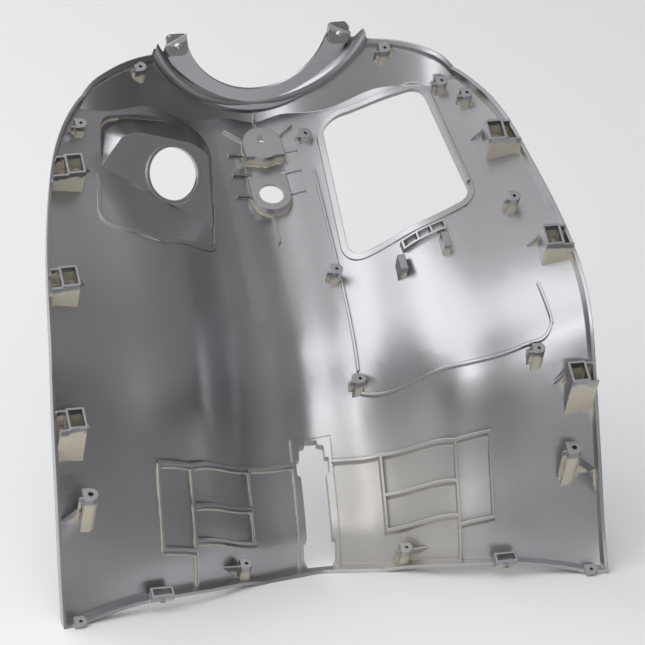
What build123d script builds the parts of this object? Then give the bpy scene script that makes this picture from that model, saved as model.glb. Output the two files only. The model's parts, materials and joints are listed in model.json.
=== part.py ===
from build123d import *
import os
from math import atan2, cos, degrees, pi, radians, sin, sqrt

# Moulding: wall of the sheet, and the direction in which the mould opens, forwards and up
WALL = 2.6
DRAW_RISE = 58.0
SHEET_DIP = 40.0

# Outline seen along the draw direction: half widths (u) and distances up the panel (v)
HALF_WIDTH = 220.0
WAIST_U = 218.0
WAIST_V = 110.0
SHOULDER_U = 191.0
SHOULDER_V = 309.0
TURN_U = 158.0
TURN_V = 378.0
SLOPE_U = 140.0
SLOPE_V = 393.5
EAR_FOOT_U = 89.0
EAR_FOOT_V = 419.5
EAR_SIDE_U = 86.5
EAR_SIDE_V = 424.0
EAR_TIP_U = 59.5
EAR_TIP_V = 430.5

# Panel surface: set-back of the channel, of the wing's root and of the wing's edge.
# Each line leans by its low slope up to its knee and by its high slope above it.
CHANNEL_FOOT = 57.0
CHANNEL_LOW = 0.395
CHANNEL_KNEE = 172.0
CHANNEL_HIGH = 1.22
CHANNEL_BLEND = 7.0
CHANNEL_FLAT = 40.0
CHANNEL_FLANK = 112.0
ROOT_FOOT = 38.0
ROOT_LOW = 0.23
ROOT_KNEE = 177.0
ROOT_HIGH = 1.25
ROOT_BLEND = 6.0
EDGE_FOOT = 9.3
EDGE_LOW = 0.21
EDGE_KNEE = 228.0
EDGE_HIGH = 1.29
EDGE_BLEND = 5.0
EDGE_MARGIN = 20.0
SECTION_START = -25.0
SECTION_STEP = 47.5
SECTION_COUNT = 10
FLANK_STEPS = 4
WING_STEPS = 3

# Neck band across the top: its plan curve at one height, and its lean
BAND_HEIGHT = 320.0
BAND_MIDDLE_Y = 288.0
BAND_INNER_X = 42.0
BAND_INNER_Y = 281.0
BAND_OUTER_X = 95.0
BAND_OUTER_Y = 247.0
BAND_END_X = 157.0
BAND_END_Y = 226.0
BAND_LEAN = 0.25

# Rim: how far the turned edge stands proud of the sheet, and of the band at the shoulders
RIM_FORWARD = 10.0
RIM_UP = 5.0
RIM_BAND = 4.0

# Bottom edge: ledge with two shallow arches
FOOT_FLAT = 50.0
ARCH_X = 140.0
ARCH_RISE = 9.0
ARCH_END = 14.0

# Collar round the steering cut-out
CUTOUT_R = 59.5
CUTOUT_Z = 393.0
COLLAR_Y = 268.3
COLLAR_LEAN = 6.3
COLLAR_R = 78.0
COLLAR_DEPTH = 34.0
COLLAR_DRAFT = 38.0
BEAD_R = 94.0
BEAD_SECTION_R = 6.0
BEAD_Y = 251.3
BEAD_Z = 411.0
BEAD_LEAN = 19.0
BEAD_ARC = 150.0
BEAD_SIDES = 14
EAR_HOLE_X = 66.7
EAR_HOLE_DROP = 14.9
EAR_HOLE_D = 4.8
EAR_PAD = 17.0
EAR_PAD_HEIGHT = 4.0
EAR_PAD_CORNER = 4.0

# Lock bump: a face turned to the front that carries the lock hole
LOCK_U = -85.1
LOCK_V = 327.3
LOCK_RAISE = 3.6
LOCK_YAW = 15.6
LOCK_TILT = 21.7
LOCK_D = 42.6
LOCK_DEPTH = 60.0
LOCK_DRAFT = 30.0
LOCK_CORNER = 9.0
LOCK_LEFT = 66.0
LOCK_SHOULDER = 12.3
LOCK_PEAK = 37.0
LOCK_RIGHT = 34.0
LOCK_CHEEK = 10.7
LOCK_FOOT = 62.0
LOCK_RING = 2.5
LOCK_RING_HEIGHT = 1.6

# Ramp below the lock face: it turns off the face along a straight hinge line
HINGE_X = -17.4
HINGE_Y = -15.4
HINGE_ANGLE = -36.2
RAMP_TURN = 36.0
RAMP_CORNER = 13.0
RAMP_REACH = 50.0
RAMP_EDGE = 3.0
RAMP_EDGE_TOP = 318.0
RAMP_OUTLINE = (
    (-138.0, 372.0),
    (-58.0, 388.0),
    (-45.0, 350.0),
    (-58.0, 274.0),
    (-105.0, 261.0),
    (-154.0, 275.0),
)

# Raised layers on the sheet: fields, ribs and frames, by their height along the draw direction
FIELD_HEIGHT = 1.6
RIB_HEIGHT = 3.2
GRID_HEIGHT = 5.5
RIB = 1.6
GRID_RIB = 2.0

# Glove box opening: bowed top and foot between two straight sides, and what surrounds it
TRAY_LEFT = 51.0
TRAY_TOP_RIGHT_U = 127.0
TRAY_FOOT_RIGHT_U = 146.0
TRAY_TOP_LEFT_V = 390.0
TRAY_TOP_RIGHT_V = 379.0
TRAY_TOP_BOW = (93.0, 379.0)
TRAY_FOOT_RIGHT_V = 270.0
TRAY_FOOT_LEFT_V = 260.0
TRAY_FOOT_BOW = (90.0, 256.3)
TRAY_CORNER = 13.0
TRAY_LIP = 5.0
GUARD = 3.2
GUARD_TOP_V = 366.0
GUARD_FOOT_V = 283.0
LADDER_U = 103.0
LADDER_V = 245.0
LADDER_ANGLE = 7.4
LADDER_LENGTH = 34.0
LADDER_WIDTH = 8.5
LADDER_CELLS = 3
LADDER_RAIL = 1.5
FIN_U = (83.0, 116.5)
FIN_V = (226.5, 230.0)
FIN_WIDTH = 6.0
FIN_LENGTH = 14.0
FIN_HEIGHT = 11.0

# Bag hook seat: two stepped pads on the centre line
HOOK_R = 16.0
HOOK_UPPER_V = 371.0
HOOK_STEP_V = 357.5
HOOK_LOWER_V = 327.0
HOOK_UPPER_RAISE = 14.5
HOOK_LOWER_RAISE = 8.5
HOOK_SCREW_D = 6.7
HOOK_SCREW_V = 374.7
HOOK_SEAT_D = 20.0
HOOK_RIB_REACH = 27.5
HOOK_RIB_V = (365.8, 347.2, 327.8)
HOOK_SPUR_V = 382.0
HOOK_SPUR_RISE = 7.0
HOOK_TAIL = 40.0
HOOK_HEAD = 34.0

# Slot window with its raised frame
SLOT_HALF = 16.3
SLOT_TOP = 133.0
SLOT_FOOT = 40.0
SLOT_WINDOW = (
    (5.0, 131.5),
    (5.0, 129.0),
    (10.0, 127.5),
    (10.5, 120.0),
    (13.3, 119.5),
    (13.3, 109.5),
    (10.4, 108.0),
    (10.4, 68.0),
    (13.3, 67.0),
    (13.3, 57.5),
    (10.0, 53.0),
)

# Rib grids in the foot, one on each side
GRID_OUT_U = 133.2
GRID_MID_U = 106.3
GRID_IN_U = 53.5
GRID_TOP_OUT_V = 96.2
GRID_TOP_IN_V = 112.2
GRID_TOP_MIDDLE_V = 115.5
GRID_ROWS = ((73.2, 86.0), (52.8, 63.8))
GRID_OUT_FOOT_V = 47.4
GRID_MID_FOOT_V = 28.0

# Long ribs that locate the glove box
KEEL_U = 38.0
KEEL_TOP_V = 345.0
KEEL_SILL_V = 171.0
KEEL_FOOT_U = 43.0
SILL_V = 156.0
SILL_BOW = (105.0, 139.2)
SILL_END_U = 165.0
SILL_END_V = 142.7
HEEL_U = 190.5
HEEL_V = 145.0
HEEL_R = 11.0
HEEL_TOP_U = 181.0
HEEL_TOP_V = 182.7

# Clip sockets along the rim: distance up the panel, inset from the rim and height
CLIP_V = (311.3, 205.5, 109.2)
CLIP_INSET = (19.0, 17.6, 16.6)
CLIP_HEIGHT = (21.5, 22.7, 32.0)
CLIP_WIDTH = 15.0
CLIP_LENGTH = 20.0
CLIP_WALL = 2.0
CLIP_DEPTH = (17.0, 17.0, 22.0)
CLIP_CORNER = 1.5
CLIP_WEB = 1.6
CLIP_WEB_DROP = 2.0
CLIP_GUSSET = 8.0

# Screw bosses: places in the draw plane and heights above the sheet
BOSS_D = 9.6
BOSS_BORE = 2.6
BOSS_BORE_DEPTH = 12.0
BOSS_FIN = 3.0
BOSS_FIN_WIDTH = 1.6
BOSS_FIN_DROP = 4.0
TRAY_BOSSES = (
    (36.5, 245.0, 15.0),
    (41.9, 160.0, 15.0),
    (173.6, 132.6, 17.5),
    (174.5, 252.0, 15.0),
    (141.0, 371.0, 15.0),
    (36.6, 375.6, 8.0),
)
NECK_BOSS_U = 100.8
NECK_BOSS_V = 406.0
NECK_BOSS_HEIGHT = 25.5
RIM_BOSS_U = 158.2
RIM_BOSS_V = 355.0
RIM_BOSS_HEIGHT = 15.0
SIDE_BOSS_INSET = 24.6
SIDE_BOSS_V = 66.0
SIDE_BOSS_HEIGHT = 36.0
SIDE_BOSS_D = 12.0
SIDE_BOSS_BORE = 4.2
SIDE_BOSS_WEB = 22.0
SIDE_BOSS_WEB_DROP = 9.0
FOOT_BOSS_U = 65.2
FOOT_BOSS_V = 45.0
FOOT_BOSS_HEIGHT = 15.5
FOOT_BOSS_WEB = 18.0
CORNER_BOSS_INSET = 13.7
CORNER_BOSS_V = 2.4
CORNER_BOSS_HEIGHT = 21.0
CORNER_BOSS_D = 10.0
CORNER_BOSS_BORE_DEPTH = 5.0

# Spring tabs on the ledge
TAB_U = 139.0
TAB_V = 19.0
TAB_WIDTH = 18.0
TAB_LENGTH = 9.0
TAB_HEIGHT = 20.0
TAB_WALL = 1.8
TAB_PIN_D = 5.0
TAB_PIN_DROP = 6.0

# Working room for cuts and blocks
DEEP = 160.0
TALL = 460.0
FRONT = 220.0
HIGH = 460.0
LEVEL_STEPS = 40

draw_rise = radians(DRAW_RISE)
draw = Plane(origin=(0, 0, 0), x_dir=(1, 0, 0), z_dir=(0, -cos(draw_rise), sin(draw_rise)))
half_span = HALF_WIDTH + EDGE_MARGIN
skin_shift = Vector(0, cos(radians(SHEET_DIP)), -sin(radians(SHEET_DIP))) * WALL


def bent_line(height, foot, low, knee, high, blend):
    """Set-back at a height of a line that leans further above its knee."""
    lower = foot + low * height
    upper = foot + low * knee + high * (height - knee)
    return (lower + upper) / 2 + sqrt(((upper - lower) / 2) ** 2 + blend**2)


def setback(x, height):
    """Distance of the panel's inner surface behind the bottom corners."""
    channel = bent_line(height, CHANNEL_FOOT, CHANNEL_LOW, CHANNEL_KNEE, CHANNEL_HIGH, CHANNEL_BLEND)
    root = bent_line(height, ROOT_FOOT, ROOT_LOW, ROOT_KNEE, ROOT_HIGH, ROOT_BLEND)
    edge = bent_line(height, EDGE_FOOT, EDGE_LOW, EDGE_KNEE, EDGE_HIGH, EDGE_BLEND)
    flank = min(max((abs(x) - CHANNEL_FLAT) / (CHANNEL_FLANK - CHANNEL_FLAT), 0), 1)
    return root + (edge - root) * abs(x) / half_span + (channel - root) * (1 + cos(pi * flank)) / 2


def level(u, v):
    """Height along the draw direction of the panel's inner surface at a spot of the draw plane."""
    below, above = -HIGH, HIGH
    for _ in range(LEVEL_STEPS):
        middle = (below + above) / 2
        spot = draw.from_local_coords((u, v, middle))
        if spot.Y > setback(spot.X, spot.Z):
            below = middle
        else:
            above = middle
    return above


def rim(v):
    """Half width of the outline at a distance up the panel, below the shoulder."""
    if v < WAIST_V:
        return HALF_WIDTH + (WAIST_U - HALF_WIDTH) * v / WAIST_V
    rise = SHOULDER_V - WAIST_V
    sweep_r = ((WAIST_U - SHOULDER_U) ** 2 + rise**2) / (2 * (WAIST_U - SHOULDER_U))
    return WAIST_U - sweep_r + sqrt(sweep_r**2 - (v - WAIST_V) ** 2)


def outline_block(inset):
    """Everything inside the outline, along the draw direction, kept back from it by an inset."""
    with BuildPart() as block:
        with BuildSketch(draw.offset(-DEEP)):
            with BuildLine():
                side = Line((rim(-DEEP), -DEEP), (WAIST_U, WAIST_V))
                flank = TangentArc(side @ 1, (SHOULDER_U, SHOULDER_V), tangent=side % 1)
                turn = TangentArc(flank @ 1, (TURN_U, TURN_V), tangent=flank % 1)
                slope = TangentArc(turn @ 1, (SLOPE_U, SLOPE_V), tangent=turn % 1)
                Polyline(
                    slope @ 1,
                    (EAR_FOOT_U, EAR_FOOT_V),
                    (EAR_SIDE_U, EAR_SIDE_V),
                    (EAR_TIP_U, EAR_TIP_V),
                    (0, EAR_TIP_V),
                    (0, -DEEP),
                    side @ 0,
                )
            make_face()
            mirror(about=Plane.YZ)
            if inset:
                trace(edges(), line_width=2 * inset, mode=Mode.SUBTRACT)
        extrude(amount=TALL + DEEP)
    return block.part


def stand_block(lift):
    """Everything above the bottom edge with its two arches, raised by a lift."""
    end = HALF_WIDTH - ARCH_END
    with BuildPart() as block:
        with BuildSketch(Plane.XZ):
            with BuildLine():
                Line((FOOT_FLAT, lift), (-FOOT_FLAT, lift))
                ThreePointArc((-FOOT_FLAT, lift), (-ARCH_X, ARCH_RISE + lift), (-end, lift))
                Polyline(
                    (-end, lift),
                    (-half_span, lift),
                    (-half_span, HIGH),
                    (half_span, HIGH),
                    (half_span, lift),
                    (end, lift),
                )
                ThreePointArc((end, lift), (ARCH_X, ARCH_RISE + lift), (FOOT_FLAT, lift))
            make_face()
        extrude(amount=HIGH, both=True)
    return block.part


def collar_block(inset):
    """The collar's seat, or with an inset the space behind its wall."""
    with BuildPart() as block:
        with BuildSketch(collar.offset(-inset)):
            Circle(COLLAR_R - inset)
        extrude(amount=-COLLAR_DEPTH, taper=-COLLAR_DRAFT)
    return block.part


def lock_block(inset):
    """The bump behind the lock face, or with an inset the space behind its wall."""
    with BuildPart() as block:
        with BuildSketch(lock.offset(-inset)):
            with BuildLine():
                Polyline(
                    (-LOCK_LEFT, LOCK_SHOULDER),
                    (-LOCK_PEAK, LOCK_PEAK),
                    (-LOCK_D / 2, LOCK_PEAK),
                    (LOCK_D / 2, LOCK_D / 2),
                    (LOCK_RIGHT, LOCK_CHEEK),
                    (LOCK_RIGHT - LOCK_CORNER, -LOCK_FOOT),
                    close=True,
                )
            make_face()
            fillet(vertices(), LOCK_CORNER)
            if inset:
                trace(edges(), line_width=2 * inset, mode=Mode.SUBTRACT)
        extrude(amount=-LOCK_DEPTH, taper=-LOCK_DRAFT)
    return block.part


def ramp_outline(margin):
    """Outline of the ramp in the draw plane, widened by a margin."""
    with BuildSketch() as outline:
        with BuildLine():
            Polyline(*RAMP_OUTLINE, close=True)
        make_face()
        fillet(vertices(), RAMP_CORNER)
        if margin:
            trace(edges(), line_width=2 * margin)
    return outline.sketch


def ramp_block(wall):
    """The space in front of the ramp, or with a wall that space and its wall."""
    with BuildPart() as block:
        with BuildSketch(draw.offset(-DEEP)):
            add(ramp_outline(wall))
        extrude(amount=DEEP + level(LOCK_U, LOCK_V) + RAMP_REACH)
        split(bisect_by=ramp.offset(-wall), keep=Keep.TOP)
    return block.part


lean = radians(COLLAR_LEAN)
collar = Plane(origin=(0, COLLAR_Y, CUTOUT_Z), x_dir=(1, 0, 0), z_dir=(0, -cos(lean), -sin(lean)))
bead_lean = radians(BEAD_LEAN)
bead = Plane(origin=(0, BEAD_Y, BEAD_Z), x_dir=(1, 0, 0), z_dir=(0, -cos(bead_lean), -sin(bead_lean)))
yaw = radians(LOCK_YAW)
tilt = radians(LOCK_TILT)
lock = Plane(
    origin=draw.from_local_coords((LOCK_U, LOCK_V, level(LOCK_U, LOCK_V) + LOCK_RAISE)),
    x_dir=(cos(yaw), sin(yaw), 0),
    z_dir=(sin(yaw) * cos(tilt), -cos(yaw) * cos(tilt), sin(tilt)),
)

hinge = lock.location * Location((HINGE_X, HINGE_Y, 0), (0, 0, HINGE_ANGLE))
ramp = Plane(hinge * Location((0, 0, 0), (-RAMP_TURN, 0, 0)))

# Space in front of the panel's surface
stations = [0, CHANNEL_FLAT / 2]
stations += [CHANNEL_FLAT + (CHANNEL_FLANK - CHANNEL_FLAT) * k / FLANK_STEPS for k in range(FLANK_STEPS)]
stations += [CHANNEL_FLANK + (half_span - CHANNEL_FLANK) * k / WING_STEPS for k in range(WING_STEPS + 1)]
stations = [-x for x in reversed(stations[1:])] + stations
with BuildPart() as panel_space:
    for k in range(SECTION_COUNT):
        height = SECTION_START + SECTION_STEP * k
        with BuildSketch(Plane.XY.offset(height)):
            with BuildLine():
                surface = Edge.make_spline(
                    [Vector(x, setback(x, height)) for x in stations],
                    parameters=[(x + half_span) / (2 * half_span) for x in stations],
                )
                add(surface)
                Polyline(surface @ 1, (half_span, -FRONT), (-half_span, -FRONT), surface @ 0)
            make_face()
    loft()

# Space in front of the neck band
with BuildPart() as band_space:
    with BuildSketch(Plane.XY.offset(BAND_HEIGHT)):
        with BuildLine():
            crest = Spline(
                (-BAND_END_X, BAND_END_Y),
                (-BAND_OUTER_X, BAND_OUTER_Y),
                (-BAND_INNER_X, BAND_INNER_Y),
                (0, BAND_MIDDLE_Y),
                (BAND_INNER_X, BAND_INNER_Y),
                (BAND_OUTER_X, BAND_OUTER_Y),
                (BAND_END_X, BAND_END_Y),
            )
            Polyline(
                crest @ 1,
                (half_span, BAND_END_Y - half_span + BAND_END_X),
                (half_span, -FRONT),
                (-half_span, -FRONT),
                (-half_span, BAND_END_Y - half_span + BAND_END_X),
                crest @ 0,
            )
        make_face()
    extrude(amount=HIGH, dir=(0, BAND_LEAN, 1), both=True)

with BuildPart() as sheet_space:
    add(panel_space.part)
    add(band_space.part, mode=Mode.INTERSECT)

bumps = [collar_block(0), lock_block(0)]
bump_backs = [collar_block(WALL), lock_block(WALL)]
ramp_space = ramp_block(0)
ramp_body = ramp_block(WALL)
with BuildPart() as hollow:
    add(sheet_space.part)
    add(ramp_space)
    add(bumps, mode=Mode.SUBTRACT)
with BuildPart() as body:
    add(sheet_space.part.moved(Location(skin_shift)))
    add(ramp_body)
    add(bump_backs, mode=Mode.SUBTRACT)

inner_outline = outline_block(WALL)
ledge_top = stand_block(WALL)
with BuildPart() as pocket:
    add(hollow.part)
    add(inner_outline, mode=Mode.INTERSECT)
    add(ledge_top, mode=Mode.INTERSECT)

with BuildPart() as rim_front:
    add(panel_space.part.moved(Location((0, -RIM_FORWARD, RIM_UP))))
    add(band_space.part.moved(Location((0, -RIM_BAND, 0))), mode=Mode.INTERSECT)
    add([bump.moved(Location((0, -RIM_BAND, 0))) for bump in bumps], mode=Mode.SUBTRACT)

outer_outline = outline_block(0)
ledge_foot = stand_block(0)
with BuildPart() as shell:
    add(body.part)
    add(outer_outline, mode=Mode.INTERSECT)
    add(ledge_foot, mode=Mode.INTERSECT)
    add(pocket.part, mode=Mode.SUBTRACT)
    add(rim_front.part, mode=Mode.SUBTRACT)

# What stands on the sheet is cut to its middle, so that it roots inside the wall
with BuildPart() as seat:
    add(sheet_space.part.moved(Location(skin_shift / 2)))
    add(inner_outline, mode=Mode.INTERSECT)
    add(ledge_foot, mode=Mode.INTERSECT)

lift = draw.z_dir


def layer(footprint, height):
    """A raised layer of constant height on the sheet, under a footprint in the draw plane."""
    with BuildPart() as column:
        with BuildSketch(draw.offset(-DEEP)):
            add(footprint)
        extrude(amount=TALL + DEEP)
    with BuildPart() as raised:
        add(column.part)
        add(sheet_space.part.moved(Location(lift * height)), mode=Mode.SUBTRACT)
        add(seat.part, mode=Mode.INTERSECT)
    return raised.part


def strip(start, end, width):
    """A straight rib between two points of the draw plane, run on by half its width."""
    run = Vector(*end) - Vector(*start)
    with Locations((Vector(*start) + Vector(*end)) / 2):
        Rectangle(run.length + width, width, rotation=degrees(atan2(run.Y, run.X)))


def guard_u(v):
    """Middle of the guard wall beside the right edge of the glove box opening."""
    down = (TRAY_TOP_RIGHT_V - v) / (TRAY_TOP_RIGHT_V - TRAY_FOOT_RIGHT_V)
    return TRAY_TOP_RIGHT_U + (TRAY_FOOT_RIGHT_U - TRAY_TOP_RIGHT_U) * down + GUARD / 2


def gusset(u, v, top, turn, start, reach, width):
    """A thin web that falls from a fitting's top to the sheet, turned from the u direction."""
    spot = draw.offset(top).location * Location((u, v, 0), (0, 0, turn))
    foot = level(u + reach * cos(radians(turn)), v + reach * sin(radians(turn))) - top
    with BuildPart() as web:
        with BuildSketch(Plane(spot * Location((0, 0, 0), (90, 0, 0)))):
            Polygon((start, 0), (reach, foot), (reach, -DEEP), (start, -DEEP), align=None)
        extrude(amount=width / 2, both=True)
    return web.part


# Glove box opening with its lip, and the raised edge round the foot of the ramp
with BuildSketch() as tray:
    with BuildLine():
        top = ThreePointArc((TRAY_LEFT, TRAY_TOP_LEFT_V), TRAY_TOP_BOW, (TRAY_TOP_RIGHT_U, TRAY_TOP_RIGHT_V))
        foot_end = (TRAY_FOOT_RIGHT_U, TRAY_FOOT_RIGHT_V)
        foot = ThreePointArc((TRAY_LEFT, TRAY_FOOT_LEFT_V), TRAY_FOOT_BOW, foot_end)
        Line(top @ 0, foot @ 0)
        Line(top @ 1, foot @ 1)
    make_face()
    fillet(vertices(), TRAY_CORNER)
with BuildSketch() as fields:
    add(ramp_outline(RAMP_EDGE))
    add(ramp_outline(0), mode=Mode.SUBTRACT)
    with Locations((LOCK_U, RAMP_EDGE_TOP)):
        Rectangle(HALF_WIDTH, HALF_WIDTH, align=(Align.CENTER, Align.MIN), mode=Mode.SUBTRACT)
    add(tray.sketch)
    trace(tray.sketch.edges(), line_width=2 * TRAY_LIP)

# Low ribs: keel and sill beside the glove box, spurs round the hook seat, frame of the slot window
with BuildSketch() as ribs:
    strip((KEEL_U, KEEL_TOP_V), (KEEL_FOOT_U, KEEL_SILL_V), RIB)
    with BuildLine():
        ThreePointArc((KEEL_FOOT_U, SILL_V), SILL_BOW, (SILL_END_U, SILL_END_V))
        FilletPolyline((SILL_END_U, SILL_END_V), (HEEL_U, HEEL_V), (HEEL_TOP_U, HEEL_TOP_V), radius=HEEL_R)
    trace(line_width=RIB)
    strip((0, HOOK_LOWER_V - HOOK_TAIL), (0, HOOK_UPPER_V + HOOK_HEAD), RIB)
    for side in (-1, 1):
        strip((0, HOOK_UPPER_V), (side * HOOK_RIB_REACH, HOOK_SPUR_V + HOOK_SPUR_RISE), RIB)
        for v in HOOK_RIB_V:
            strip((0, v), (side * HOOK_RIB_REACH, v), RIB)
    with Locations((0, (SLOT_TOP + SLOT_FOOT) / 2)):
        Rectangle(2 * SLOT_HALF, SLOT_TOP - SLOT_FOOT)

# Grid ribs, one grid on each side of the slot window
with BuildSketch() as grids:
    for side in (-1, 1):
        outer, middle, inner = side * GRID_OUT_U, side * GRID_MID_U, side * GRID_IN_U
        strip((outer, GRID_OUT_FOOT_V), (outer, GRID_TOP_OUT_V), GRID_RIB)
        strip((outer, GRID_TOP_OUT_V), (middle, GRID_TOP_OUT_V), GRID_RIB)
        strip((middle, GRID_TOP_OUT_V), (inner, GRID_TOP_IN_V), GRID_RIB)
        strip((inner, GRID_TOP_IN_V), (side * SLOT_HALF, GRID_TOP_MIDDLE_V), GRID_RIB)
        strip((middle, GRID_TOP_OUT_V), (middle, GRID_MID_FOOT_V), GRID_RIB)
        strip((inner, GRID_TOP_IN_V), (inner, GRID_ROWS[-1][1]), GRID_RIB)
        strip((outer, GRID_OUT_FOOT_V), (middle, GRID_OUT_FOOT_V), GRID_RIB)
        for out_v, in_v in GRID_ROWS:
            strip((middle, out_v), (inner, in_v), GRID_RIB)
    strip((guard_u(GUARD_TOP_V), GUARD_TOP_V), (guard_u(GUARD_FOOT_V), GUARD_FOOT_V), GUARD)
    cell = (LADDER_LENGTH - LADDER_RAIL) / LADDER_CELLS
    with Locations(Location((LADDER_U, LADDER_V), LADDER_ANGLE)):
        Rectangle(LADDER_LENGTH, LADDER_WIDTH)
        with GridLocations(cell, LADDER_WIDTH, LADDER_CELLS, 1):
            Rectangle(cell - LADDER_RAIL, LADDER_WIDTH - 2 * LADDER_RAIL, mode=Mode.SUBTRACT)

field_layer = layer(fields.sketch, FIELD_HEIGHT)
rib_layer = layer(ribs.sketch, RIB_HEIGHT)
grid_layer = layer(grids.sketch, GRID_HEIGHT)

# Clip sockets with two webs each to the rim, bosses, hook seat and fins
boss_spots = [(u, v, height, BOSS_D, BOSS_BORE, min(height, BOSS_BORE_DEPTH)) for u, v, height in TRAY_BOSSES]
side_boss_u = rim(SIDE_BOSS_V) - SIDE_BOSS_INSET
corner_boss_u = HALF_WIDTH - CORNER_BOSS_INSET
for side in (-1, 1):
    boss_spots += [
        (side * NECK_BOSS_U, NECK_BOSS_V, NECK_BOSS_HEIGHT, BOSS_D, BOSS_BORE, BOSS_BORE_DEPTH),
        (side * RIM_BOSS_U, RIM_BOSS_V, RIM_BOSS_HEIGHT, BOSS_D, BOSS_BORE, BOSS_BORE_DEPTH),
        (side * FOOT_BOSS_U, FOOT_BOSS_V, FOOT_BOSS_HEIGHT, BOSS_D, BOSS_BORE, BOSS_BORE_DEPTH),
        (side * side_boss_u, SIDE_BOSS_V, SIDE_BOSS_HEIGHT, SIDE_BOSS_D, SIDE_BOSS_BORE, BOSS_BORE_DEPTH),
        (
            side * corner_boss_u,
            CORNER_BOSS_V,
            CORNER_BOSS_HEIGHT,
            CORNER_BOSS_D,
            BOSS_BORE,
            CORNER_BOSS_BORE_DEPTH,
        ),
    ]
clip_spots = []
for v, inset, height, depth in zip(CLIP_V, CLIP_INSET, CLIP_HEIGHT, CLIP_DEPTH):
    for side in (-1, 1):
        clip_spots.append((side, side * (rim(v) - inset), v, height, depth, inset))

bead_start = Location((0, 0, 0), (0, 0, -90 - BEAD_ARC / 2))
with BuildPart() as bead_ring:
    with BuildSketch(Plane(bead.location * bead_start * Location((0, 0, 0), (90, 0, 0)))):
        with Locations((BEAD_R, 0)):
            RegularPolygon(BEAD_SECTION_R, BEAD_SIDES)
    revolve(axis=Axis(bead.origin, bead.z_dir), revolution_arc=BEAD_ARC)
    add(bump_backs[0], mode=Mode.SUBTRACT)

gussets = []
for side, u, v, height, depth, inset in clip_spots:
    inner = 90 + 90 * side
    end_v = v + (CLIP_LENGTH - CLIP_WEB) / 2
    wall_at = CLIP_WIDTH / 2
    gussets.append(gusset(u, end_v, level(u, v) + height, inner, 0, wall_at + CLIP_GUSSET, CLIP_WEB))
for side in (-1, 1):
    outer = 90 - 90 * side
    u = side * side_boss_u
    top = level(u, SIDE_BOSS_V) + SIDE_BOSS_HEIGHT - SIDE_BOSS_WEB_DROP
    gussets.append(gusset(u, SIDE_BOSS_V, top, outer, 0, SIDE_BOSS_WEB, BOSS_FIN_WIDTH))
    u = side * FOOT_BOSS_U
    top = level(u, FOOT_BOSS_V) + FOOT_BOSS_HEIGHT - BOSS_FIN_DROP
    gussets.append(gusset(u, FOOT_BOSS_V, top, outer, 0, FOOT_BOSS_WEB, BOSS_FIN_WIDTH))

with BuildPart() as fittings:
    add([bead_ring.part, *gussets])
    for side, u, v, height, depth, inset in clip_spots:
        top = level(u, v) + height
        with BuildSketch(draw.offset(top)):
            with Locations((u, v)):
                RectangleRounded(CLIP_WIDTH, CLIP_LENGTH, CLIP_CORNER)
        extrude(amount=-DEEP)
        with BuildSketch(draw.offset(top - CLIP_WEB_DROP)):
            for end in (-1, 1):
                with Locations((u + side * inset / 2, v + end * (CLIP_LENGTH - CLIP_WEB) / 2)):
                    Rectangle(inset, CLIP_WEB)
        extrude(amount=-DEEP)
    for u, v, height, diameter, bore, depth in boss_spots:
        top = level(u, v) + height
        with BuildSketch(draw.offset(top)):
            with Locations((u, v)):
                Circle(diameter / 2)
            with Locations((u - diameter / 4, v)):
                Rectangle(diameter / 2, diameter)
        extrude(amount=-DEEP)
        with BuildSketch(draw.offset(top - BOSS_FIN_DROP)):
            with Locations((u - diameter / 2, v)):
                Rectangle(2 * BOSS_FIN, BOSS_FIN_WIDTH)
        extrude(amount=-DEEP)
    for u, v in zip(FIN_U, FIN_V):
        with BuildSketch(draw.offset(level(u, v) + FIN_HEIGHT)):
            with Locations((u, v)):
                Rectangle(FIN_WIDTH, FIN_LENGTH)
        extrude(amount=-DEEP)
    with BuildSketch(draw.offset(level(0, HOOK_UPPER_V) + HOOK_UPPER_RAISE)):
        with Locations((0, HOOK_UPPER_V)):
            Circle(HOOK_R)
        with Locations((0, (HOOK_UPPER_V + HOOK_STEP_V) / 2)):
            Rectangle(2 * HOOK_R, HOOK_UPPER_V - HOOK_STEP_V)
    extrude(amount=-DEEP)
    with BuildSketch(draw.offset(level(0, HOOK_LOWER_V) + HOOK_LOWER_RAISE)):
        with Locations((0, (HOOK_UPPER_V + HOOK_LOWER_V) / 2)):
            SlotOverall(HOOK_UPPER_V - HOOK_LOWER_V + 2 * HOOK_R, 2 * HOOK_R, rotation=90)
    extrude(amount=-DEEP)
    for side in (-1, 1):
        with BuildSketch(draw.offset(level(TAB_U, TAB_V) + TAB_HEIGHT)):
            with Locations((side * TAB_U, TAB_V)):
                Rectangle(TAB_WIDTH, TAB_LENGTH)
                Rectangle(TAB_WIDTH - 2 * TAB_WALL, TAB_LENGTH - 2 * TAB_WALL, mode=Mode.SUBTRACT)
        extrude(amount=-DEEP)
        with BuildSketch(draw.offset(level(TAB_U, TAB_V) + TAB_HEIGHT - TAB_PIN_DROP)):
            with Locations((side * TAB_U, TAB_V - TAB_LENGTH / 2)):
                Circle(TAB_PIN_D / 2)
        extrude(amount=-DEEP)
    add(seat.part, mode=Mode.INTERSECT)

# Pads round the ear holes, square to the screws, and the ring round the lock hole
ear_middle = collar.from_local_coords((0, -EAR_HOLE_DROP, 0))
ears = Plane(origin=ear_middle, x_dir=(1, 0, 0), z_dir=(0, -1, 0))
with BuildPart() as pads:
    with BuildSketch(ears.offset(EAR_PAD_HEIGHT)):
        with GridLocations(2 * EAR_HOLE_X, 0, 2, 1):
            RectangleRounded(EAR_PAD, EAR_PAD, EAR_PAD_CORNER)
    extrude(amount=-EAR_PAD_HEIGHT - WALL / 2)
    with BuildSketch(lock.offset(LOCK_RING_HEIGHT)):
        Circle(LOCK_D / 2 + LOCK_RING)
    extrude(amount=-LOCK_RING_HEIGHT - WALL / 2)

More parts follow.
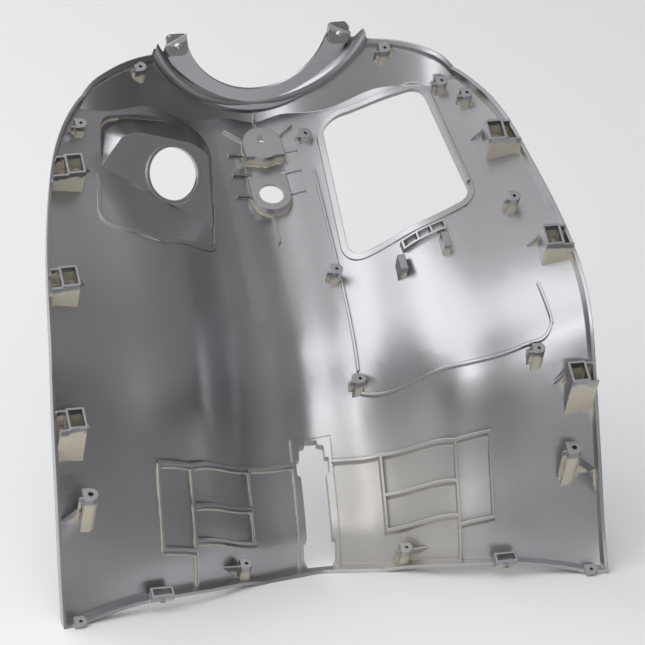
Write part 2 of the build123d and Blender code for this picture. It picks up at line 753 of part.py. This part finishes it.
# Openings, sockets and bores
with BuildPart() as cuts:
    with BuildSketch(draw.offset(-DEEP)):
        add(tray.sketch)
        with BuildLine():
            Polyline(*SLOT_WINDOW, *[(-u, v) for u, v in reversed(SLOT_WINDOW)], close=True)
        make_face()
        with Locations((0, HOOK_SCREW_V)):
            Circle(HOOK_SCREW_D / 2)
        with Locations((0, HOOK_LOWER_V)):
            Circle(HOOK_SEAT_D / 2)
    extrude(amount=TALL + DEEP)
    with BuildSketch(draw.offset(-DEEP)):
        with Locations((0, HOOK_UPPER_V)):
            Circle(HOOK_R - WALL)
        with Locations((0, (HOOK_UPPER_V + HOOK_STEP_V + WALL) / 2)):
            Rectangle(2 * (HOOK_R - WALL), HOOK_UPPER_V - HOOK_STEP_V - WALL)
    extrude(amount=DEEP + level(0, HOOK_UPPER_V) + HOOK_UPPER_RAISE - WALL)
    with BuildSketch(draw.offset(-DEEP)):
        with Locations((0, (HOOK_UPPER_V + HOOK_LOWER_V) / 2)):
            SlotOverall(HOOK_UPPER_V - HOOK_LOWER_V + 2 * (HOOK_R - WALL), 2 * (HOOK_R - WALL), rotation=90)
    extrude(amount=DEEP + level(0, HOOK_LOWER_V) + HOOK_LOWER_RAISE - WALL)
    with BuildSketch(lock):
        Circle(LOCK_D / 2)
    extrude(amount=LOCK_DEPTH, both=True)
    for side, u, v, height, depth, inset in clip_spots:
        with BuildSketch(draw.offset(level(u, v) + height)):
            with Locations((u, v)):
                Rectangle(CLIP_WIDTH - 2 * CLIP_WALL, CLIP_LENGTH - 2 * CLIP_WALL)
        extrude(amount=-depth)
    for u, v, height, diameter, bore, depth in boss_spots:
        with BuildSketch(draw.offset(level(u, v) + height)):
            with Locations((u, v)):
                Circle(bore / 2)
        extrude(amount=-depth)
    with BuildSketch(collar):
        Circle(CUTOUT_R)
    extrude(amount=CUTOUT_R, both=True)
    with BuildSketch(ears):
        with GridLocations(2 * EAR_HOLE_X, 0, 2, 1):
            Circle(EAR_HOLE_D / 2)
    extrude(amount=CUTOUT_R, both=True)

with BuildPart() as shield:
    add([shell.part, field_layer, rib_layer, grid_layer, fittings.part, pads.part])
    add(cuts.part, mode=Mode.SUBTRACT)

# The finished piece has its origin midway between the two ear holes
with BuildPart() as leg_shield:
    add(shield.part.moved(Location(-ear_middle)))
leg_shield.part.label = "leg_shield"
os.makedirs("parts", exist_ok=True)
export_step(leg_shield.part, "parts/leg_shield.step")
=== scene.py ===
"""Looks of a moulded scooter leg shield, seen from its hidden side on a pale studio floor.

The shield is one moulded piece. Its hidden side carries grey metallic overspray that never reached
the roots of the bosses, clip towers and ribs, where the ivory plastic still shows.
"""

import json
import logging
import math
from dataclasses import dataclass, field
from enum import Enum
from functools import cached_property
from typing import Any

import bmesh
import bpy
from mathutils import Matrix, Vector
from mathutils.bvhtree import BVHTree
from mathutils.kdtree import KDTree

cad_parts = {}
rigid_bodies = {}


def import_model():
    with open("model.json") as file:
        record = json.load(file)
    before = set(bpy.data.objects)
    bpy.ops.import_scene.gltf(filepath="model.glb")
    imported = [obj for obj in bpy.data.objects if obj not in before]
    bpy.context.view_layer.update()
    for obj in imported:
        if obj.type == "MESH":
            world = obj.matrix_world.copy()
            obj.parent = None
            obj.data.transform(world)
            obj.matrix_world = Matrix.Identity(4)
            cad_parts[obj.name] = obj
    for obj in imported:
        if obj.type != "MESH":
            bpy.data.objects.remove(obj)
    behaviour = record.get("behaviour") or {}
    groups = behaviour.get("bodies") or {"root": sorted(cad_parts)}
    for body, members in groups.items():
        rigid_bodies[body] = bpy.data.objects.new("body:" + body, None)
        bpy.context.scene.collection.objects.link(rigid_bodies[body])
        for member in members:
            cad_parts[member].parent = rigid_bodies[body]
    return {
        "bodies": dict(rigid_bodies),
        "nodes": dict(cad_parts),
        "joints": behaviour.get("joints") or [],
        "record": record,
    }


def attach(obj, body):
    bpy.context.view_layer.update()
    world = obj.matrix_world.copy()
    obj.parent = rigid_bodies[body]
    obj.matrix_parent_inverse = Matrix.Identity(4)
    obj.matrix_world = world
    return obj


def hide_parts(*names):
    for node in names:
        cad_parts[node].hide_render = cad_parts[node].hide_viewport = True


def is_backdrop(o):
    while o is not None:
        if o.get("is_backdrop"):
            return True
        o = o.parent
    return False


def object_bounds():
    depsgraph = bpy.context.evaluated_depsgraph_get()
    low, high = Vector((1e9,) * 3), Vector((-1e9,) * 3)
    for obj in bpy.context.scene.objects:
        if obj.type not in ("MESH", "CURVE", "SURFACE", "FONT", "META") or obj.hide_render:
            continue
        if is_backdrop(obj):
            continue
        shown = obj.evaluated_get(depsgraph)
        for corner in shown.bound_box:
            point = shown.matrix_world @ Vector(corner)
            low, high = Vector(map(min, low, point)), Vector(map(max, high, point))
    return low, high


LOG = logging.getLogger("leg_shield")
MM = 0.001

Triple = tuple[float, float, float]
Span = tuple[float, float]
UNIT: Span = (0.0, 1.0)


class Layer(Enum):
    """Names of the corner attributes of the shell."""

    BARE = "bare_plastic"
    NORMAL = "kept_normal"


class Curve(Enum):
    """How a number goes from one end of a span to the other."""

    LINEAR = "LINEAR"
    SMOOTH = "SMOOTHSTEP"


def heading(azimuth: float, elevation: float) -> Vector:
    """Direction away from the object.

    Args:
        azimuth: angle from the front towards the right, in degrees.
        elevation: angle above the level, in degrees.

    Returns:
        The direction, of length one.
    """
    turn, rise = math.radians(azimuth), math.radians(elevation)
    level = math.cos(rise)
    return Vector((math.sin(turn) * level, -math.cos(turn) * level, math.sin(rise)))


def put_in_scene(name: str, data: bpy.types.ID) -> bpy.types.Object:
    """Puts a new object with the given data into the scene.

    Args:
        name: name of the object.
        data: its mesh, lamp or camera.

    Returns:
        The object.
    """
    made = bpy.data.objects.new(name, data)
    bpy.context.scene.collection.objects.link(made)
    return made


def corner_key(loop: bmesh.types.BMLoop, normal: Vector, steps: int) -> tuple[int, ...]:
    """Key that the loops of one corner share where they face about the same way.

    Args:
        loop: a corner of a face.
        normal: direction in which the surface faces there.
        steps: how finely directions are told apart.

    Returns:
        The corner's number, followed by its rounded direction.
    """
    return (loop.vert.index, *(round(steps * value) for value in normal))


@dataclass(frozen=True)
class Grain:
    """A noise texture in object space.

    Args:
        scale: how many lumps there are to a metre.
        detail: how many finer layers it has.
    """

    scale: float
    detail: float


class Graph:
    """Node tree of a material or of the world, with the few nodes that are used here."""

    def __init__(self, tree: bpy.types.NodeTree) -> None:
        """Opens a node tree."""
        self.nodes = tree.nodes
        self.links = tree.links

    def put(self, value: Any, target: bpy.types.NodeSocket) -> None:
        """Links a socket to an input, or sets the input to a fixed value."""
        if isinstance(value, bpy.types.NodeSocket):
            self.links.new(value, target)
        else:
            target.default_value = value

    def node(self, kind: str, inputs: dict[Any, Any] | None = None) -> bpy.types.Node:
        """Adds a node and fills its inputs.

        Args:
            kind: type of the node.
            inputs: sockets or fixed values, by the name or number of the input.

        Returns:
            The node.
        """
        made = self.nodes.new(kind)
        for name, value in (inputs or {}).items():
            self.put(value, made.inputs[name])
        return made

    def math(self, operation: str, *terms: Any) -> bpy.types.NodeSocket:
        """Adds a calculation.

        Args:
            operation: what is calculated.
            terms: sockets or numbers, in the order of the node's inputs.

        Returns:
            The socket with the result.
        """
        made = self.node("ShaderNodeMath", dict(enumerate(terms)))
        made.operation = operation
        return made.outputs[0]

    def span(
        self, value: bpy.types.NodeSocket, source: Span, target: Span, curve: Curve = Curve.SMOOTH
    ) -> bpy.types.NodeSocket:
        """Maps a number from one span to another and holds it between the ends.

        Args:
            value: socket with the number.
            source: ends of the span that it comes from.
            target: ends of the span that it goes to.
            curve: how it goes from end to end.

        Returns:
            The socket with the result.
        """
        made = self.node("ShaderNodeMapRange", {"Value": value})
        made.interpolation_type = curve.value
        for name, number in zip(("From Min", "From Max", "To Min", "To Max"), (*source, *target)):
            self.put(number, made.inputs[name])
        return made.outputs["Result"]

    def noise(self, place: bpy.types.NodeSocket, grain: Grain) -> bpy.types.NodeSocket:
        """Adds a noise texture.

        Args:
            place: socket with the place on the object.
            grain: scale and detail of the noise.

        Returns:
            The socket with its value.
        """
        inputs = {"Vector": place, "Scale": grain.scale, "Detail": grain.detail}
        return self.node("ShaderNodeTexNoise", inputs).outputs["Fac"]


@dataclass(frozen=True)
class Coat:
    """Colour and gloss of one coat.

    Args:
        colour: linear red, green and blue.
        metallic: share of metal flake.
        roughness: blur of its reflections.
    """

    colour: Triple
    metallic: float
    roughness: float


@dataclass(frozen=True)
class ThinPatch:
    """Round patch at the foot where little spray arrived.

    Args:
        centre: middle of the patch, in metres.
        radius: where it ends, in metres.
        core: where it is strongest, in metres.
        share: how much plastic shows there.
    """

    centre: Triple = (0.06, -0.22, -0.335)
    radius: float = 0.11
    core: float = 0.11 / 3
    share: float = 0.32

    def show(self, graph: Graph, place: bpy.types.NodeSocket) -> bpy.types.NodeSocket:
        """Lets the plastic show through.

        Args:
            graph: nodes of the material.
            place: socket with the place on the object.

        Returns:
            The socket with the share of plastic.
        """
        away = graph.node("ShaderNodeVectorMath", {0: place, 1: self.centre})
        away.operation = "DISTANCE"
        return graph.span(away.outputs["Value"], (self.radius, self.core), (0.0, self.share))


@dataclass(frozen=True)
class OversprayFinish:
    """Grey metallic paint over ivory plastic, thinning out where the spray did not reach.

    Args:
        paint: the overspray.
        plastic: what lies under it.
        thin: bareness at which the paint starts to thin out.
        gone: bareness at which it is gone.
        ragged: noise along the edge of the paint.
        ragged_depth: how much that noise adds to the bareness.
        cloud: broad changes of tone.
        cloud_tones: darkest and lightest of them.
        flake: grain of the paint.
        flake_depth: how much the grain adds to the tone.
        peel: orange peel of the paint.
        peel_strength: strength of the orange peel.
        peel_height: height of the orange peel, in metres.
        edge_radius: rounding of sharp edges, in metres.
        edge_samples: how many rays find those edges.
        patch: where the paint is thin all over.
    """

    paint: Coat = Coat((0.42, 0.42, 0.44), 1.0, 0.30)
    plastic: Coat = Coat((0.58, 0.53, 0.43), 0.0, 0.48)
    thin: float = 0.73
    gone: float = 0.90
    ragged: Grain = Grain(220.0, 3.0)
    ragged_depth: float = 0.12
    cloud: Grain = Grain(9.0, 4.0)
    cloud_tones: Span = (0.90, 1.05)
    flake: Grain = Grain(1800.0, 1.0)
    flake_depth: float = 0.10
    peel: Grain = Grain(420.0, 2.0)
    peel_strength: float = 0.03
    peel_height: float = 0.2 * MM
    edge_radius: float = 0.8 * MM
    edge_samples: int = 4
    patch: ThinPatch = ThinPatch()

    def build(self) -> bpy.types.Material:
        """Makes the node material.

        Returns:
            The finished material.
        """
        material = bpy.data.materials.new("overspray_on_ivory")
        material.use_nodes = True
        graph = Graph(material.node_tree)
        place = graph.node("ShaderNodeTexCoord").outputs["Object"]
        share = graph.math("MAXIMUM", self._bare(graph, place), self.patch.show(graph, place))
        look = {
            "Base Color": self._colour(graph, place, share),
            "Metallic": self._between(graph, share, self.paint.metallic, self.plastic.metallic),
            "Roughness": self._between(graph, share, self.paint.roughness, self.plastic.roughness),
            "Normal": self._relief(graph, place),
        }
        shader = graph.nodes["Principled BSDF"]
        for name, value in look.items():
            graph.put(value, shader.inputs[name])
        return material

    def _bare(self, graph: Graph, place: bpy.types.NodeSocket) -> bpy.types.NodeSocket:
        """Reads where the spray did not reach, with a ragged edge.

        Args:
            graph: nodes of the material.
            place: socket with the place on the object.

        Returns:
            The socket with the share of bare plastic.
        """
        bare = graph.node("ShaderNodeAttribute")
        bare.attribute_name = Layer.BARE.value
        ragged = graph.noise(place, self.ragged)
        edge = graph.math("MULTIPLY_ADD", ragged, self.ragged_depth, bare.outputs["Fac"])
        middle = self.ragged_depth / 2
        return graph.span(edge, (self.thin + middle, self.gone + middle), UNIT)

    def _colour(
        self, graph: Graph, place: bpy.types.NodeSocket, share: bpy.types.NodeSocket
    ) -> bpy.types.NodeSocket:
        """Mixes the colours of paint and plastic, both cloudy and grainy.

        Args:
            graph: nodes of the material.
            place: socket with the place on the object.
            share: socket with the share of bare plastic.

        Returns:
            The socket with the colour.
        """
        cloud = graph.span(graph.noise(place, self.cloud), UNIT, self.cloud_tones, Curve.LINEAR)
        tone = graph.math("MULTIPLY_ADD", graph.noise(place, self.flake), self.flake_depth, cloud)
        mix = graph.node("ShaderNodeMix")
        mix.data_type = "RGBA"
        graph.put(share, mix.inputs["Factor"])
        for name, coat in (("A", self.paint), ("B", self.plastic)):
            toned = graph.node("ShaderNodeVectorMath", {0: coat.colour})
            toned.operation = "SCALE"
            graph.put(tone, toned.inputs["Scale"])
            graph.put(toned.outputs["Vector"], mix.inputs[name])
        return mix.outputs["Result"]

    @staticmethod
    def _between(
        graph: Graph, share: bpy.types.NodeSocket, painted: float, bare: float
    ) -> bpy.types.NodeSocket:
        """Blends a number from painted to bare."""
        return graph.span(share, UNIT, (painted, bare), Curve.LINEAR)

    def _relief(self, graph: Graph, place: bpy.types.NodeSocket) -> bpy.types.NodeSocket:
        """Rounds sharp edges a little and adds the orange peel.

        Args:
            graph: nodes of the material.
            place: socket with the place on the object.

        Returns:
            The socket with the normal.
        """
        edge = graph.node("ShaderNodeBevel", {"Radius": self.edge_radius})
        edge.samples = self.edge_samples
        inputs = {
            "Strength": self.peel_strength,
            "Distance": self.peel_height,
            "Height": graph.noise(place, self.peel),
            "Normal": edge.outputs["Normal"],
        }
        return graph.node("ShaderNodeBump", inputs).outputs["Normal"]


@dataclass(frozen=True)
class Spray:
    """The spray gun's fan, which reached the hidden side from in front and above.

    Args:
        rise: angle of its axis above the level, in degrees.
        spread: half angle of the fan, in degrees.
        rays: directions in each ring of the fan.
        mist: share of the paint that lands at any slant.
        reach: how far away a wall still keeps spray off, in metres.
        lift: how far off the surface a ray starts, in metres.
    """

    rise: float = 80.0
    spread: float = 46.0
    rays: int = 9
    mist: float = 0.3
    reach: float = 15.0 * MM
    lift: float = 0.25 * MM

    @cached_property
    def fan(self) -> list[Vector]:
        """Directions towards the gun: its axis, a ring at half the spread and one at the spread."""
        axis = heading(0.0, self.rise)
        across = axis.orthogonal().normalized()
        other = axis.cross(across)
        fan = [axis]
        for tilt in (math.radians(self.spread / 2), math.radians(self.spread)):
            for step in range(self.rays):
                turn = 2 * math.pi * step / self.rays
                ring = across * math.cos(turn) + other * math.sin(turn)
                fan.append((axis * math.cos(tilt) + ring * math.sin(tilt)).normalized())
        return fan

    @cached_property
    def whole(self) -> float:
        """What lands on an open surface that squarely faces the gun."""
        return sum(self.fan[0].dot(ray) + self.mist for ray in self.fan)

    def deposit(self, tree: BVHTree, spot: Vector, normal: Vector) -> float:
        """Share of the paint that lands on a spot.

        Args:
            tree: the shell, which keeps spray off.
            spot: where the paint lands.
            normal: direction in which the surface faces there.

        Returns:
            The paint's thickness, one where the surface squarely faces the gun.
        """
        start = spot + normal * self.lift
        landed = 0.0
        for ray in self.fan:
            facing = normal.dot(ray)
            if facing > 0.0 and tree.ray_cast(start, ray, self.reach)[0] is None:
                landed += facing + self.mist
        return landed / self.whole


@dataclass(frozen=True)
class Collar:
    """The collar round the steering cut-out, which was sprayed all over.

    Args:
        centre: middle of its bead, in metres.
        radius: distance from the middle up to which it reaches, in metres.
        squash: how much shorter that distance is to the sides.
    """

    centre: Triple = (0.0, -18.6 * MM, 32.8 * MM)
    radius: float = 112.0 * MM
    squash: float = 1.06

    def holds(self, spot: Vector) -> bool:
        """Tells whether a spot lies on the collar."""
        away = spot - Vector(self.centre)
        return Vector((away.x * self.squash, away.y, away.z)).length < self.radius


@dataclass(frozen=True)
class SoftRamp:
    """The ramp below the lock face, which runs softly into the sheet round it.

    Args:
        lowest: lowest corner of the space round the ramp, in metres.
        highest: highest corner of that space, in metres.
        radius: how far the transition reaches, in metres.
        limit: cosine of the angle up to which two faces run into each other.
        steps: how finely the directions at one corner are told apart.
    """

    lowest: Triple = (-0.165, -0.175, -0.185)
    highest: Triple = (-0.036, -0.040, -0.060)
    radius: float = 11.0 * MM
    limit: float = 0.87
    steps: int = 20

    def holds(self, spot: Vector) -> bool:
        """Tells whether a spot lies in the space round the ramp."""
        return all(low < value < high for low, value, high in zip(self.lowest, spot, self.highest))

    def soften(self, shape: bmesh.types.BMesh, layer: bmesh.types.BMLayerItem) -> int:
        """Blends the normals of the ramp and the sheet.

        Args:
            shape: the divided shell.
            layer: the layer with its normals.

        Returns:
            How many normals were blended.
        """
        found: dict[tuple[int, ...], list[bmesh.types.BMLoop]] = {}
        for vert in shape.verts:
            if self.holds(vert.co):
                for loop in vert.link_loops:
                    key = corner_key(loop, loop[layer].normalized(), self.steps)
                    found.setdefault(key, []).append(loop)
        groups = list(found.values())
        normals = [group[0][layer].normalized() for group in groups]
        tree = KDTree(len(groups))
        for index, group in enumerate(groups):
            tree.insert(group[0].vert.co, index)
        tree.balance()
        for group, normal in zip(groups, normals):
            near = [normals[index] for _, index, _ in tree.find_range(group[0].vert.co, self.radius)]
            alike = [other for other in near if other.dot(normal) > self.limit]
            for loop in group:
                loop[layer] = sum(alike, Vector()).normalized()
        return len(groups)


@dataclass
class PaintedShell:
    """The moulded shield with its overspray, in place of the plain solid.

    Args:
        finish: what it is painted with.
        spray: how the paint reached it.
        collar: what was painted all over.
        ramp: what has soft transitions.
        node: name of the solid that it stands for.
        cell: longest edge that the sheet is divided into, in metres.
        rounds: how often long edges may be halved.
        merge: distance under which corners are joined, in metres.
        mould_rise: angle of the mould's opening above the level, in degrees.
        rider: cosine under which a face belongs to the rider side.
        steep: cosine under which a face counts as a wall.
        steps: how finely the directions at one corner are told apart.
        probes: how many places above a spot are asked whether the wall goes on.
        probe_step: distance between those places, in metres.
        probe_lift: how far in front of the wall they lie, in metres.
        probe_reach: how far back the wall may be, in metres.
        low_limit: how bare a wall may stay where it ends just above.
    """

    finish: OversprayFinish
    spray: Spray = Spray()
    collar: Collar = Collar()
    ramp: SoftRamp = SoftRamp()
    node: str = "leg_shield"
    cell: float = 5.0 * MM
    rounds: int = 7
    merge: float = 0.01 * MM
    mould_rise: float = 58.0
    rider: float = -0.3
    steep: float = 0.35
    steps: int = 4
    probes: int = 2
    probe_step: float = 2.8 * MM
    probe_lift: float = 1.0 * MM
    probe_reach: float = 2.5 * MM
    low_limit: float = 0.45

    def build(self, frame: dict[str, Any]) -> bpy.types.Object:
        """Builds the shell over the solid.

        Args:
            frame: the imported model.

        Returns:
            The finished piece.
        """
        shape = self._copy(frame["nodes"][self.node].data)
        tree = BVHTree.FromBMesh(shape)
        self._refine(shape)
        blended = self.ramp.soften(shape, shape.loops.layers.float_vector[Layer.NORMAL.value])
        LOG.info("ramp: %d normals blended", blended)
        self._paint(shape, tree)
        mesh = bpy.data.meshes.new("shield_shell")
        shape.to_mesh(mesh)
        shape.free()
        self._restore_normals(mesh)
        mesh.materials.clear()
        mesh.materials.append(self.finish.build())
        piece = put_in_scene("shield_shell", mesh)
        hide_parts(self.node)
        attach(piece, "root")
        return piece

    def _copy(self, source: bpy.types.Mesh) -> bmesh.types.BMesh:
        """Copies the solid's mesh, with the exact normals of its surfaces in a layer of their own.

        Args:
            source: mesh of the solid.

        Returns:
            The merged copy.
        """
        copy = source.copy()
        normals = [0.0] * (3 * len(source.loops))
        source.corner_normals.foreach_get("vector", normals)
        kept = copy.attributes.new(Layer.NORMAL.value, "FLOAT_VECTOR", "CORNER")
        kept.data.foreach_set("vector", normals)
        stored = copy.attributes.get("custom_normal")
        if stored is not None:
            copy.attributes.remove(stored)
        shape = bmesh.new()
        shape.from_mesh(copy)
        bpy.data.meshes.remove(copy)
        bmesh.ops.remove_doubles(shape, verts=shape.verts, dist=self.merge)
        shape.normal_update()
        return shape

    def _refine(self, shape: bmesh.types.BMesh) -> None:
        """Divides the long edges until the sheet is fine enough to hold the edges of the paint."""
        for _ in range(self.rounds):
            long_edges = [edge for edge in shape.edges if edge.calc_length() > self.cell]
            if not long_edges:
                break
            bmesh.ops.subdivide_edges(shape, edges=long_edges, cuts=1)
            divided = [face for face in shape.faces if len(face.verts) > 3]
            bmesh.ops.triangulate(shape, faces=divided)
        shape.verts.index_update()
        shape.normal_update()

    def _paint(self, shape: bmesh.types.BMesh, tree: BVHTree) -> None:
        """Marks how bare each corner of a face stayed; the rider side is painted all over."""
        opening = heading(0.0, self.mould_rise)
        bare = shape.loops.layers.float.new(Layer.BARE.value)
        kept = shape.loops.layers.float_vector[Layer.NORMAL.value]
        known: dict[tuple[int, ...], float] = {}
        for face in shape.faces:
            for loop in face.loops:
                spot, normal = loop.vert.co, loop[kept].normalized()
                if normal.dot(opening) < self.rider or self.collar.holds(spot):
                    continue
                key = corner_key(loop, normal, self.steps)
                if key not in known:
                    known[key] = 1.0 - self.spray.deposit(tree, spot, normal)
                    if normal.dot(opening) < self.steep:
                        known[key] = min(known[key], self._limit(tree, spot, normal, opening))
                loop[bare] = known[key]

    def _limit(self, tree: BVHTree, spot: Vector, normal: Vector, opening: Vector) -> float:
        """How bare a wall may stay: low ribs and the tops of tall walls were painted all over.

        Args:
            tree: the shell.
            spot: a place on a wall.
            normal: direction in which the wall faces.
            opening: direction towards the top of the wall.

        Returns:
            The upper limit of bareness, higher where the wall goes on above the spot.
        """
        found = 0
        for step in range(1, self.probes + 1):
            start = spot + opening * (step * self.probe_step) + normal * self.probe_lift
            found += tree.ray_cast(start, -normal, self.probe_reach)[0] is not None
        return self.low_limit + (1.0 - self.low_limit) * found / self.probes

    @staticmethod
    def _restore_normals(mesh: bpy.types.Mesh) -> None:
        """Gives the divided mesh the normals of the solid's surfaces again."""
        kept = mesh.attributes[Layer.NORMAL.value]
        flat = [0.0] * (3 * len(mesh.loops))
        kept.data.foreach_get("vector", flat)
        normals = [Vector(flat[k : k + 3]).normalized() for k in range(0, len(flat), 3)]
        mesh.attributes.remove(kept)
        mesh.polygons.foreach_set("use_smooth", [True] * len(mesh.polygons))
        mesh.normals_split_custom_set(normals)


@dataclass(frozen=True)
class SoftBox:
    """A rectangular studio light that faces a point of the object.

    Args:
        name: name of the lamp.
        azimuth: direction round the object, in degrees from the front towards the right.
        elevation: height of that direction, in degrees.
        distance: how far away it hangs, in metres.
        size: its width and height, in metres.
        radiance: brightness of its face.
    """

    name: str
    azimuth: float
    elevation: float
    distance: float
    size: Span
    radiance: float

    def hang(self, aim: Vector) -> None:
        """Hangs the lamp and turns it to the aim."""
        lamp = bpy.data.lights.new(self.name, "AREA")
        lamp.shape = "RECTANGLE"
        lamp.size, lamp.size_y = self.size
        lamp.energy = self.radiance * math.pi * self.size[0] * self.size[1]
        away = heading(self.azimuth, self.elevation)
        holder = put_in_scene(self.name, lamp)
        holder.location = aim + away * self.distance
        holder.rotation_euler = away.to_track_quat("Z", "Y").to_euler()
        holder.visible_camera = False


@dataclass(frozen=True)
class Room:
    """Light of the room by direction: dim at floor level and behind, brighter overhead and left.

    Args:
        low: brightness at floor level.
        middle: brightness above it.
        middle_band: heights between which the one goes over into the other.
        top: what is added overhead.
        top_band: heights between which it sets in.
        back: what is added behind the object.
        back_band: depths between which it sets in.
        left: what is added on the left.
        left_band: places across between which it sets in.
        paper: brightness of the paper behind the floor, as the camera sees it.
    """

    low: float = 0.10
    middle: float = 0.31
    middle_band: Span = (0.02, 0.30)
    top: float = 0.45
    top_band: Span = (0.80, 1.00)
    back: float = -0.12
    back_band: Span = (0.05, 0.70)
    left: float = 0.15
    left_band: Span = (-0.35, -0.85)
    paper: float = 0.85

    def build(self) -> None:
        """Makes the scene's world."""
        world = bpy.data.worlds.new("studio_room")
        world.use_nodes = True
        graph = Graph(world.node_tree)
        way = graph.node("ShaderNodeTexCoord").outputs["Generated"]
        part = graph.node("ShaderNodeSeparateXYZ", {"Vector": way}).outputs
        light = graph.span(part["Z"], self.middle_band, (self.low, self.middle))
        added = (
            ("Z", self.top_band, self.top),
            ("Y", self.back_band, self.back),
            ("X", self.left_band, self.left),
        )
        for name, band, extra in added:
            light = graph.math("ADD", light, graph.span(part[name], band, (0.0, extra)))
        camera = graph.node("ShaderNodeLightPath").outputs["Is Camera Ray"]
        seen = graph.node("ShaderNodeMix", {"Factor": camera, "A": light, "B": self.paper})
        background = graph.nodes["Background"]
        graph.put((1.0, 1.0, 1.0, 1.0), background.inputs["Color"])
        graph.put(seen.outputs["Result"], background.inputs["Strength"])
        bpy.context.scene.world = world


@dataclass
class Studio:
    """Pale floor that ends in front and on the right, with three soft boxes.

    Args:
        aim: the point that the lamps face.
        floor_colour: linear red, green and blue of the floor.
        floor_roughness: blur of the floor's reflections.
        floor_gloss: strength of the floor's reflections.
        floor_from: lowest x and y of the floor, in metres.
        floor_to: highest x and y of the floor, in metres.
        lamps: the soft boxes.
        room: light of the room.
    """

    aim: Vector = field(default_factory=lambda: Vector((0.0, -0.15, -0.18)))
    floor_colour: Triple = (0.86, 0.86, 0.87)
    floor_roughness: float = 0.9
    floor_gloss: float = 0.1
    floor_from: Span = (-4.0, -0.9)
    floor_to: Span = (0.8, 4.0)
    lamps: tuple[SoftBox, ...] = (
        SoftBox("left_panel", -50.0, 43.0, 2.6, (5.2, 2.4), 1.6),
        SoftBox("front_box", -3.0, 11.5, 3.0, (0.9, 0.36), 5.2),
        SoftBox("back_box", -150.0, 45.0, 3.0, (2.5, 2.0), 2.3),
    )
    room: Room = Room()

    def build(self, base: float) -> None:
        """Sets up floor, lamps and room.

        Args:
            base: height of the floor, in metres.
        """
        (left, front), (right, back) = self.floor_from, self.floor_to
        sheet = bmesh.new()
        spots = [(left, front), (right, front), (right, back), (left, back)]
        sheet.faces.new([sheet.verts.new((x, y, base)) for x, y in spots])
        mesh = bpy.data.meshes.new("studio_floor")
        sheet.to_mesh(mesh)
        sheet.free()
        mesh.materials.append(self._floor_paint())
        floor = put_in_scene("studio_floor", mesh)
        floor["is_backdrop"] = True
        for lamp in self.lamps:
            lamp.hang(self.aim)
        self.room.build()

    def _floor_paint(self) -> bpy.types.Material:
        """Makes the matt paint of the floor.

        Returns:
            The floor's material.
        """
        material = bpy.data.materials.new("matt_floor")
        material.use_nodes = True
        look = {
            "Base Color": (*self.floor_colour, 1.0),
            "Roughness": self.floor_roughness,
            "Specular IOR Level": self.floor_gloss,
        }
        graph = Graph(material.node_tree)
        for name, value in look.items():
            graph.put(value, graph.nodes["Principled BSDF"].inputs[name])
        return material


@dataclass(frozen=True)
class PhotoCamera:
    """The camera at the photograph's place.

    Args:
        place: where it stands, in metres.
        aim: the point in the middle of the picture.
        lens: focal length, in millimetres.
        sensor: width of the square picture behind the lens, in millimetres.
        reach: how far it sees, in metres.
    """

    place: Triple = (-0.88544, -3.74112, 1.22390)
    aim: Triple = (0.00622, -0.19135, -0.17477)
    lens: float = 279.07
    sensor: float = 36.0
    reach: float = 50.0

    def build(self) -> None:
        """Sets the camera up as the scene's own."""
        camera = bpy.data.cameras.new("photo_camera")
        camera.sensor_width = self.sensor
        camera.lens = self.lens
        camera.clip_end = self.reach
        holder = put_in_scene("photo_camera", camera)
        holder.location = self.place
        back = Vector(self.place) - Vector(self.aim)
        holder.rotation_euler = back.to_track_quat("Z", "Y").to_euler()
        bpy.context.scene.camera = holder


def corners(box: tuple[Vector, Vector]) -> list[list[float]]:
    """Turns the two corners of a box into plain lists.

    Args:
        box: lowest and highest corner.

    Returns:
        The same corners as lists of numbers.
    """
    return [[float(value) for value in corner] for corner in box]


def main() -> None:
    """Builds the shield, its studio and the camera."""
    logging.basicConfig(level=logging.INFO, format="%(name)s: %(message)s")
    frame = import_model()
    cad_box = corners(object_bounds())
    bpy.context.scene.view_settings.view_transform = "Standard"
    shell = PaintedShell(OversprayFinish()).build(frame)
    LOG.info("%s: %d faces", shell.name, len(shell.data.polygons))
    Studio().build(cad_box[0][2])
    PhotoCamera().build()


if __name__ == "__main__":
    main()
